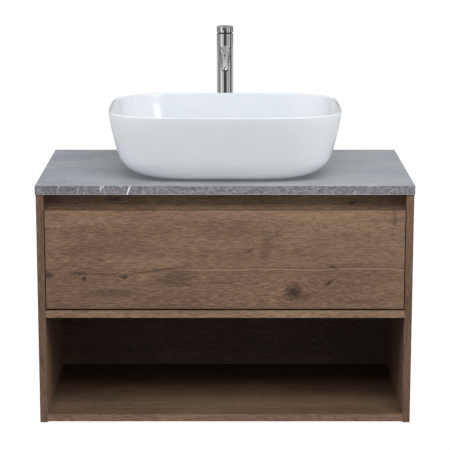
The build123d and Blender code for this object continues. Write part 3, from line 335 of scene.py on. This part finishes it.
def slate():
    """Blue-grey honed stone: cloudy on top, with a speckled edge crossed by thin upright white veins."""
    s = Shader("slate")
    x, y, z = s.parts(s.place)
    cloud = s.noise(s.place, (3.2, 6, 9), 1, 5, 0.55, 0.6)
    drift = s.noise(s.place, (11, 30, 30), 1, 4, 0.6, 0.8)
    grain = s.noise(s.place, (330, 330, 330), 1, 3, 0.65)
    coarse = s.noise(s.place, (120, 120, 170), 1, 3, 0.6)
    normal = s.node("ShaderNodeNewGeometry").outputs["Normal"]
    edge = s.band(s.math("ABSOLUTE", s.parts(normal)[2]), 0.3, 0.8, 1, 0)
    colour = s.ramp(s.math("ADD", s.math("MULTIPLY", cloud, 0.6), s.math("MULTIPLY", drift, 0.4)),
                    ((0.34, STONE_DARK), (0.5, STONE_MID), (0.66, STONE_LIGHT)))
    cut_face = s.mix(s.band(coarse, 0.36, 0.64), EDGE_DARK, EDGE_LIGHT)
    cut_face = s.mix(s.band(x, -0.40, -0.15, 0.50, 0), cut_face, EDGE_PATCH)
    colour = s.mix(edge, colour, cut_face)
    speckle = s.band(edge, 0, 1, 0.22, 0.60)
    colour = s.mix(s.math("MULTIPLY", s.band(grain, 0.34, 0.50, 1, 0), speckle), colour, EDGE_DARK)
    colour = s.mix(s.math("MULTIPLY", s.band(grain, 0.52, 0.70), speckle), colour, STONE_PALE)

    upright = 0.0
    for stretch, width, gate_low in EDGE_VEINS:
        place = s.vector("ADD", s.place, (gate_low * 7, width * 90, 0.3))
        field = s.noise(place, stretch, 1, 2, 0.4, 0.1)
        line = s.band(s.math("ABSOLUTE", s.math("SUBTRACT", field, 0.5)), 0, width, 0.62, 0)
        gate = s.band(s.noise(place, (21, 9, 3), 1, 2, 0.5), gate_low, gate_low + 0.06)
        upright = s.math("MAXIMUM", upright, s.math("MULTIPLY", line, gate))
    slant = s.math("MULTIPLY", s.math("SUBTRACT", z, 70 * MM), -0.35)
    bold = s.math("ADD", s.math("SUBTRACT", x, BOLD_VEIN_X), slant)
    upright = s.math("MAXIMUM", upright, s.band(s.math("ABSOLUTE", bold), 0.0006, 0.0026, 1, 0))
    colour = s.mix(s.math("MULTIPLY", upright, edge), colour, STONE_VEIN)
    field = s.noise(s.place, (4, 7, 4), 1, 3, 0.45, 0.2)
    wisps = s.band(s.math("ABSOLUTE", s.math("SUBTRACT", field, 0.5)), 0, 0.008, 0.16, 0)
    colour = s.mix(s.math("MULTIPLY", wisps, s.math("SUBTRACT", 1.0, edge)), colour, STONE_VEIN)
    pits = s.band(s.noise(s.place, (60, 60, 90), 1, 3, 0.6), 0.64, 0.70)
    colour = s.mix(s.math("MULTIPLY", pits, s.math("MULTIPLY", edge, 0.75)), colour, EDGE_PIT)
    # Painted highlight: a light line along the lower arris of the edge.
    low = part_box("countertop")[0].z
    foot = s.math("MULTIPLY", s.band(z, low + 0.8 * MM, low + 2.2 * MM, 0.75, 0), edge)
    colour = s.mix(foot, colour, EDGE_ARRIS_HIGHLIGHT)
    s.bump(s.math("ADD", grain, s.math("MULTIPLY", drift, 0.5)), 0.22, 0.0003)
    return s.set(Base_Color=colour, Roughness=s.band(cloud, 0.3, 0.7, 0.42, 0.32), Specular_IOR_Level=0.5)


# ---------------------------------------------------------------- ceramic, metals, rubber, plastics
def ceramic():
    s = Shader("glazed_ceramic")
    tint = s.noise(s.place, (9, 9, 9), 1, 3, 0.5)
    wave = s.noise(s.place, (22, 22, 22), 1, 2, 0.4)
    colour = s.mix(s.band(tint, 0.3, 0.7), (0.665, 0.690, 0.712), (0.690, 0.712, 0.730))
    s.bump(wave, 0.05, 0.0010)
    return s.set(Base_Color=colour, Roughness=s.band(tint, 0.3, 0.7, 0.10, 0.15), Coat_Weight=0.15,
                 Coat_Roughness=0.03)


def metal(name, light, dark, rough, brushed=None, relief=0.05):
    """A metal with faint tone and polish changes, brushed along one axis if asked."""
    s = Shader(name)
    stretch = {None: (40, 40, 40), "X": (8, 900, 900), "Y": (900, 8, 900), "Z": (900, 900, 8)}[brushed]
    wear = s.noise(s.place, stretch, 1, 3, 0.55)
    smear = s.noise(s.place, (18, 18, 18), 1, 3, 0.6)
    colour = s.mix(s.band(wear, 0.3, 0.7), dark, light)
    s.bump(wear, relief, 0.0001)
    polish = s.band(smear, 0.3, 0.7, rough * 0.75, rough * 1.3)
    return s.set(Base_Color=colour, Metallic=1.0, Roughness=polish)


def moulded(name, light, dark, rough, relief=0.12):
    """Rubber or plastic with a fine moulded grain."""
    s = Shader(name)
    grain = s.noise(s.place, (700, 700, 700), 1, 3, 0.6)
    patch = s.noise(s.place, (30, 30, 30), 1, 2, 0.5)
    colour = s.mix(s.band(patch, 0.3, 0.7), dark, light)
    s.bump(grain, relief, 0.0002)
    return s.set(Base_Color=colour, Roughness=s.band(grain, 0.3, 0.7, rough, rough + 0.1))


# The up tones on the drawer front and the boards are painted shade on their faces that look up or down.
OAK_FRONT = oak("oak_front", "X", FRONT_MARKS, tone=0.80, painted_shade_up_tone=0.42, seam=True)
OAK_BOARD = oak("oak_board", "X", gold=0.11, tone=0.82, edge_tone=0.92, painted_shade_up_tone=0.43)
OAK_SIDE = oak("oak_side", "Z", tone=0.88, edge_tone=0.62)
# The finger rail is made lighter: painted light standing in for the light that reaches into the recess.
OAK_RAIL_PAINTED_LIGHT = oak("oak_rail_painted_light", "X", RAIL_MARKS, tone=1.35)
# The niche back and the carcass boards are made darker: painted shade of the deep niche.
OAK_BACK_PAINTED_SHADE = oak("oak_back_painted_shade", "X", tone=0.62)
MATERIALS = {
    "stone": slate(),
    "oak": OAK_BOARD,
    "carcass_board": OAK_BACK_PAINTED_SHADE,
    "drawer_board": board_material("grey_melamine", (0.56, 0.55, 0.53), (0.47, 0.46, 0.44)),
    "beech": oak("beech", "X", tone=1.9),
    "zinc_steel": metal("zinc_plate", (0.72, 0.74, 0.76), (0.55, 0.57, 0.60), 0.28),
    "slide_steel": metal("slide_steel", (0.66, 0.68, 0.70), (0.50, 0.52, 0.55), 0.30, "Y", 0.15),
    "die_cast": metal("die_cast", (0.60, 0.61, 0.63), (0.42, 0.43, 0.45), 0.42, None, 0.3),
    "ceramic": ceramic(),
    "chrome": metal("chrome", (0.80, 0.80, 0.79), (0.74, 0.74, 0.73), 0.07),
    "brass": metal("brass", (0.72, 0.55, 0.27), (0.55, 0.39, 0.17), 0.25),
    "rubber": moulded("rubber", (0.035, 0.035, 0.036), (0.020, 0.020, 0.021), 0.60),
    "black_plastic": moulded("black_plastic", (0.020, 0.020, 0.022), (0.011, 0.011, 0.012), 0.35),
    "cartridge_plastic": moulded("cartridge_plastic", (0.72, 0.72, 0.69), (0.62, 0.62, 0.59), 0.38),
    "spring_steel": metal("spring_steel", (0.74, 0.74, 0.73), (0.60, 0.60, 0.60), 0.20),
}
NODE_MATERIALS = {"drawer_front": OAK_FRONT, "side_panel_left": OAK_SIDE, "side_panel_right": OAK_SIDE,
                  "finger_rail": OAK_RAIL_PAINTED_LIGHT, "niche_back_panel": OAK_BACK_PAINTED_SHADE,
                  # The aerator housing is black: painted shade standing in for the shade under the spout's
                  # mouth.
                  "aerator_housing": MATERIALS["black_plastic"],
                  # The lever pin's darker chrome is painted shade standing in for the dark end of the pin.
                  "lever_pin": metal("painted_shade_chrome", (0.34, 0.33, 0.34), (0.26, 0.25, 0.26), 0.20)}


def finish_with(piece, material):
    piece.data.materials.clear()
    piece.data.materials.append(material)


def dress_cad_nodes():
    """Every CAD node gets the material of its slot, or one of its own."""
    for part in frame["record"]["subparts"]:
        piece = nodes[part["node"]]
        slot = part["material_slot"]
        finish_with(piece, NODE_MATERIALS.get(part["node"], MATERIALS[slot]))


# ---------------------------------------------------------------- mesh writing
def mesh_object(name, points, faces, smooth=True):
    """A new object from points and faces, linked to the scene."""
    mesh = bpy.data.meshes.new(name)
    mesh.from_pydata([tuple(p) for p in points], [], faces)
    mesh.update()
    for polygon in mesh.polygons:
        polygon.use_smooth = smooth
    piece = bpy.data.objects.new(name, mesh)
    bpy.context.scene.collection.objects.link(piece)
    return piece


def grid_faces(rings, count, closed_profile=False):
    """Quads between rings of points that each run round in count steps."""
    faces = []
    spans = rings if closed_profile else rings - 1
    for ring in range(spans):
        low, high = ring * count, (ring + 1) % rings * count
        for step in range(count):
            turn = (step + 1) % count
            faces.append((low + step, low + turn, high + turn, high + step))
    return faces


# ---------------------------------------------------------------- basin
RIM_RADIUS = 3 * MM
RIM_POWER = 4.1                      # how square the rim's corners are, 2 being an ellipse
BASIN_FLARE = 33 * MM                # how far the ends lean out from heel to rim
BASIN_HEEL = 42 * MM
BASIN_FRONT_SHARE = 0.51             # front and back lean, as a share of the ends' lean
BASIN_FLOOR = 16 * MM
FOOT_HEIGHT = 5.4 * MM
FOOT_WIDTH = 12 * MM
FOOT_INSET = 48 * MM                 # foot ring behind the start of the heel
BOWL_POWER = 4.05
BOWL_FLARE = 26 * MM
BOWL_HEEL = 64 * MM
WASTE_SEAT = 34 * MM
WASTE_HOLE = 22.5 * MM


def superellipse(half_x, half_y, power, angle):
    """The point of a rounded rectangle's outline in a direction from its centre."""
    c, s = cos(angle), sin(angle)
    reach = (abs(c / half_x) ** power + abs(s / half_y) ** power) ** (-1 / power)
    return reach * c, reach * s


def lean(height, total, flare, heel):
    """How far a leaning wall with a round heel stands in from its rim."""
    below = max(heel - height, 0)
    return flare * max(1 - height / total, 0) ** 1.4 + heel - sqrt(max(heel * heel - below * below, 0))


def basin_profile(half_x, half_y, total):
    """Rings of the basin as (half width, half depth, outline power, height), once round its section."""
    rings = []

    def ring(lip, leaned, height, power):
        rings.append((half_x - lip - leaned, half_y - lip - leaned * BASIN_FRONT_SHARE, power, height))

    foot = BASIN_FLARE + BASIN_HEEL + FOOT_INSET
    ease = 0.6 * MM
    ring(0, foot + FOOT_WIDTH, FOOT_HEIGHT, 3.3)
    ring(0, foot + FOOT_WIDTH, ease, 3.3)
    ring(0, foot + FOOT_WIDTH - ease, 0, 3.3)
    ring(0, foot + 0.8 * MM, 0, 3.4)
    ring(0, foot, 0.8 * MM, 3.5)
    ring(0, foot - ease, FOOT_HEIGHT, 3.55)

    shoulder = total - RIM_RADIUS
    side = shoulder - FOOT_HEIGHT
    heel_rises = [BASIN_HEEL * (1 - cos(radians(degrees))) for degrees in range(8, 91, 6)]
    wall_steps = 14
    wall_rises = [BASIN_HEEL + (side - BASIN_HEEL) * step / wall_steps for step in range(1, wall_steps + 1)]
    for rise in heel_rises + wall_rises:
        ring(0, lean(rise, side, BASIN_FLARE, BASIN_HEEL), FOOT_HEIGHT + rise, RIM_POWER)
    for degrees in range(12, 181, 12):
        turn = radians(degrees)
        ring(RIM_RADIUS * (1 - cos(turn)), 0, shoulder + RIM_RADIUS * sin(turn), RIM_POWER)

    wall, deep, bowl_steps = 2 * RIM_RADIUS, shoulder - BASIN_FLOOR, 10
    for step in range(1, bowl_steps + 1):
        rise = deep - (deep - BOWL_HEEL) * step / bowl_steps
        ring(wall, lean(rise, deep, BOWL_FLARE, BOWL_HEEL), BASIN_FLOOR + rise, BOWL_POWER)
    for degrees in range(84, 11, -6):
        rise = BOWL_HEEL * (1 - cos(radians(degrees)))
        ring(wall, lean(rise, deep, BOWL_FLARE, BOWL_HEEL), BASIN_FLOOR + rise, 2.8 + 1.25 * rise / BOWL_HEEL)
    return rings + floor_rings(*rings[-1])


def floor_rings(half_x, half_y, power, height):
    """The bowl's floor, from its heel in to the round seat of the waste, and down through the hole."""
    rings = []
    steps, edge = 8, BASIN_FLOOR + 0.4 * MM
    for step in range(1, steps + 1):
        t = step / steps
        rings.append((half_x + (WASTE_SEAT - half_x) * t, half_y + (WASTE_SEAT - half_y) * t,
                      power + (2 - power) * t, height + (edge - height) * (1 - (1 - t) ** 2)))
    seat_low = BASIN_FLOOR - 3.5 * MM
    for radius, level in ((WASTE_SEAT - 0.6 * MM, BASIN_FLOOR - 0.4 * MM), (WASTE_SEAT - 0.8 * MM, seat_low),
                          (WASTE_HOLE + 1 * MM, seat_low), (WASTE_HOLE, seat_low - 1 * MM),
                          (WASTE_HOLE, FOOT_HEIGHT)):
        rings.append((radius, radius, 2.0, level))
    return rings


def basin():
    """One thin shell with a rolled rim, on a foot ring set well in from its edge."""
    low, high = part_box("basin")
    centre = (low + high) / 2
    half_x, half_y = 252.5 * MM, 198 * MM
    rings = basin_profile(half_x, half_y, high.z - low.z)
    count = 192
    points = []
    for ring_x, ring_y, power, height in rings:
        for step in range(count):
            x, y = superellipse(ring_x, ring_y, power, 2 * pi * step / count)
            points.append((centre.x + x, centre.y + y, low.z + height))
    piece = mesh_object("vessel_basin", points, grid_faces(len(rings), count, True))
    fix_normals(piece)
    finish_with(piece, MATERIALS["ceramic"])
    piece.visible_glossy = False
    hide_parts("basin")
    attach(piece, "root")
    return piece


# ---------------------------------------------------------------- spout
SPOUT_ROOT_RADIUS = 13.5 * MM
SPOUT_TIP_RADIUS = 8.6 * MM
SPOUT_FALL = radians(11.5)
SPOUT_BEND = 8 * MM                  # radius of the axis where the tip turns down


def spout_line():
    """The spout's axis from inside the tap to its mouth, as (y, z, how far it points down, radius)."""
    low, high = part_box("spout")
    mouth_z = low.z
    middle_y, middle_z = low.y + SPOUT_TIP_RADIUS + SPOUT_BEND, mouth_z + 1 * MM
    first_y = TAP_Y - 10 * MM
    last_y = middle_y - SPOUT_BEND * sin(SPOUT_FALL)
    last_z = middle_z + SPOUT_BEND * cos(SPOUT_FALL)
    swell = 0.3 * MM
    before_bend = SPOUT_TIP_RADIUS + swell
    line = []
    for step in range(15):
        t = step / 14
        y = first_y + (last_y - first_y) * t
        radius = SPOUT_ROOT_RADIUS + (before_bend - SPOUT_ROOT_RADIUS) * t
        line.append((y, last_z + (y - last_y) * tan(SPOUT_FALL), SPOUT_FALL, radius))
    for step in range(1, 11):
        turn = SPOUT_FALL + (pi / 2 - SPOUT_FALL) * step / 10
        radius = SPOUT_TIP_RADIUS + swell * (1 - step / 10)
        line.append((middle_y - SPOUT_BEND * sin(turn), middle_z + SPOUT_BEND * cos(turn), turn, radius))
    for height, thinner in ((0.4, 0), (0, 0.4), (0, 1.3), (6, 1.4)):
        line.append((middle_y - SPOUT_BEND, mouth_z + height * MM, pi / 2, SPOUT_TIP_RADIUS - thinner * MM))
    return line


def spout():
    """A tapered tube that leaves the tap, falls a little and bends down to its mouth."""
    line = spout_line()
    count = 48
    points = []
    for y, z, turn, radius in line:
        for step in range(count):
            a = 2 * pi * step / count
            up = radius * cos(a)
            points.append((radius * sin(a), y - up * sin(turn), z + up * cos(turn)))
    faces = grid_faces(len(line), count)
    faces += [tuple(range(count)), tuple(reversed(range(len(points) - count, len(points))))]
    piece = mesh_object("tapered_spout", points, faces)
    fix_normals(piece)
    finish_with(piece, MATERIALS["chrome"])
    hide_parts("spout")
    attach(piece, "root")


def fix_normals(piece):
    """Turns every face outwards."""
    work = bmesh.new()
    work.from_mesh(piece.data)
    bmesh.ops.recalc_face_normals(work, faces=work.faces)
    work.to_mesh(piece.data)
    work.free()


# ---------------------------------------------------------------- camera, floor and light
def look_from(name, kind, place, target):
    """A camera or a lamp that stands at a place and looks at a target."""
    data = bpy.data.cameras.new(name) if kind == "CAMERA" else bpy.data.lights.new(name, kind)
    made = bpy.data.objects.new(name, data)
    bpy.context.scene.collection.objects.link(made)
    made.location = place
    made.rotation_euler = (Vector(target) - Vector(place)).to_track_quat("-Z", "Y").to_euler()
    return made


def camera():
    """A long lens in front of the counter, a little above the tap and tipped down."""
    low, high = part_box("countertop")
    back, rise, pitch = 3.588, 0.676, radians(11.14)
    place = Vector((0, low.y - back, high.z + rise))
    aim = place + Vector((0, cos(pitch), -sin(pitch)))
    made = look_from("camera", "CAMERA", place, aim)
    made.data.lens = 139.1
    made.data.sensor_width = 36
    made.data.shift_y = -0.0556
    made.data.clip_end = 50
    bpy.context.scene.camera = made


def area_light(name, place, target, width, height, power, colour):
    """A rectangular lamp which neither the camera nor a reflection sees."""
    made = look_from(name, "AREA", place, target)
    made.data.shape = "RECTANGLE"
    made.data.size = width
    made.data.size_y = height
    made.data.energy = power
    made.data.color = colour
    made.visible_camera = False
    made.visible_glossy = False
    return made


def light_only(light, *pieces, leave_out=False):
    """Lets a lamp light only these pieces, or every piece but these."""
    group = bpy.data.collections.new(light.name + "_lit")
    for piece in pieces:
        group.objects.link(piece)
    for entry in group.collection_objects:
        entry.light_linking.link_state = "EXCLUDE" if leave_out else "INCLUDE"
    light.light_linking.receiver_collection = group


def lights(glazed):
    """A high soft key for the cabinet, low lamps for the white glaze, and weak fills."""
    warm, cool, blue, neutral = (1, 0.995, 0.985), (0.97, 0.985, 1), (0.94, 0.97, 1), (0.98, 0.99, 1)
    key = area_light("key", (0.35, -2.05, 2.05), (0.0, -0.30, 0.0), 2.6, 1.5, 96, warm)
    light_only(key, glazed, leave_out=True)
    bowl = (0, -0.25, 0.15)
    for name, place, width, power in (("glaze_key", (0.15, -2.8, 1.15), 3.2, 53),
                                      ("glaze_left", (-2.6, -0.6, 1.15), 1.2, 17),
                                      ("glaze_right", (2.6, -0.6, 1.15), 1.2, 15)):
        light_only(area_light(name, place, bowl, width, 1.4, power, cool), glazed)
    cabinet = (0, -0.2, 0)
    area_light("right_fill", (2.6, -0.9, 0.9), cabinet, 1.4, 1.8, 10, cool)
    area_light("left_fill", (-2.6, -0.7, 0.9), cabinet, 1.4, 1.8, 9, blue)
    area_light("back_fill", (0, 2.8, 1.2), (0, 0, -0.1), 2.6, 1.8, 40, neutral)


# Where each upright flat starts, in degrees round from straight ahead of the tap, and its brightness.
STRIPES = (
    (-118, 0.36), (-98, 0.25), (-78, 0.37), (-62, 0.90), (-45, 0.62), (-30, 0.50), (-15, 0.04), (12, 0.15),
    (27, 0.58), (42, 0.30), (58, 0.70), (75, 0.01), (93, 0.37), (118, 0.60), (180, 0.60), (242, 0),
)


def card(name, corners, brightness):
    """A glowing flat which only reflections see."""
    piece = mesh_object(name, corners, [(0, 1, 3, 2)], False)
    piece.data.materials.append(Shader(name).glow(0.92 * brightness, 1.08 * brightness, 0.7, 2))
    for ray in ("camera", "diffuse", "transmission", "shadow", "volume_scatter"):
        setattr(piece, "visible_" + ray, False)


def around(azimuth, distance, height):
    """A point round the tap's axis, measured from straight ahead of it."""
    a = radians(azimuth)
    return distance * sin(a), TAP_Y - distance * cos(a), height


# Softboxes: middle and half width in degrees round from straight ahead, low and high edge, brightness.
SOFTBOXES = (
    (76, 9, 0.75, 2.3, 1.6), (-76, 7, 0.9, 2.1, 1.0), (22, 3.5, 0.30, 1.25, 7.0),
    (170, 4, 1.35, 2.6, 1.2), (191, 5, 1.35, 2.6, 0.7),
)


def cards():
    """Upright studio flats that draw the stripes in the tap, and softboxes that gleam in the glaze."""
    flat_distance, flat_low, flat_high, rear_flat_high = 4.6, -1.4, 3.2, -0.1
    last_tall_edge, box_distance = 118, 3.4
    for (start, brightness), (end, _) in zip(STRIPES, STRIPES[1:]):
        top = flat_high if end <= last_tall_edge else rear_flat_high
        corners = [around(azimuth, flat_distance, z) for azimuth in (start, end) for z in (flat_low, top)]
        card("flat_%d" % (start + 180), corners, brightness)
    for azimuth, half, low, high, brightness in SOFTBOXES:
        corners = [around(azimuth + turn, box_distance, z) for turn in (-half, half) for z in (low, high)]
        card("softbox_%d" % (azimuth + 180), corners, brightness)
    cap_half, cap_back, cap_low, cap_high, cap_brightness = 0.4, 0.95, 0.50, 0.75, 1.3
    cap_corners = [(x, cap_back, z) for x in (-cap_half, cap_half) for z in (cap_low, cap_high)]
    card("cap_glow", cap_corners, cap_brightness)


def floor():
    """A plain pale floor below the cabinet. It looks evenly lit and sends no light back up."""
    drop, half = 0.30, 30
    low = cad_box[0].z - drop
    corners = [(x, y, low) for x in (-half, half) for y in (-half, half)]
    piece = mesh_object("floor", corners, [(0, 2, 3, 1)], False)
    piece.data.materials.append(Shader("pale_floor").glow(0.99, 1.05, 2, 3))
    for ray in ("diffuse", "glossy", "transmission", "shadow"):
        setattr(piece, "visible_" + ray, False)


def world():
    """White to the camera. To the surfaces it is a studio, brighter overhead and at the sides."""
    studio = bpy.data.worlds.new("studio")
    bpy.context.scene.world = studio
    studio.use_nodes = True
    s = Nodes(studio.node_tree)
    x, y, z = s.parts(s.node("ShaderNodeTexCoord").outputs["Generated"])
    rays = s.node("ShaderNodeLightPath").outputs
    overhead = s.band(z, 0.05, 0.75, 0.10, 0.75)
    beside = s.band(s.math("ABSOLUTE", x), 0.40, 0.95, 0, 0.80)
    lit = s.math("ADD", overhead, s.math("MULTIPLY", beside, s.band(z, -0.6, 0.1)))
    reflected = s.band(z, 0.10, 0.80, 0.22, 0.70)
    not_diffuse = s.math("SUBTRACT", 1.0, rays["Is Diffuse Ray"])
    shaded = s.math("ADD", s.math("MULTIPLY", lit, rays["Is Diffuse Ray"]),
                    s.math("MULTIPLY", reflected, not_diffuse))
    background = 1.1
    strength = s.math("MAXIMUM", shaded, s.math("MULTIPLY", rays["Is Camera Ray"], background))
    s.feed(strength, s.tree.nodes["Background"].inputs["Strength"])
    s.tree.nodes["Background"].inputs["Color"].default_value = (0.97, 0.985, 1.0, 1)


dress_cad_nodes()
glazed_basin = basin()
spout()
camera()
lights(glazed_basin)
cards()
floor()
world()
bpy.context.scene.view_settings.view_transform = "Standard"
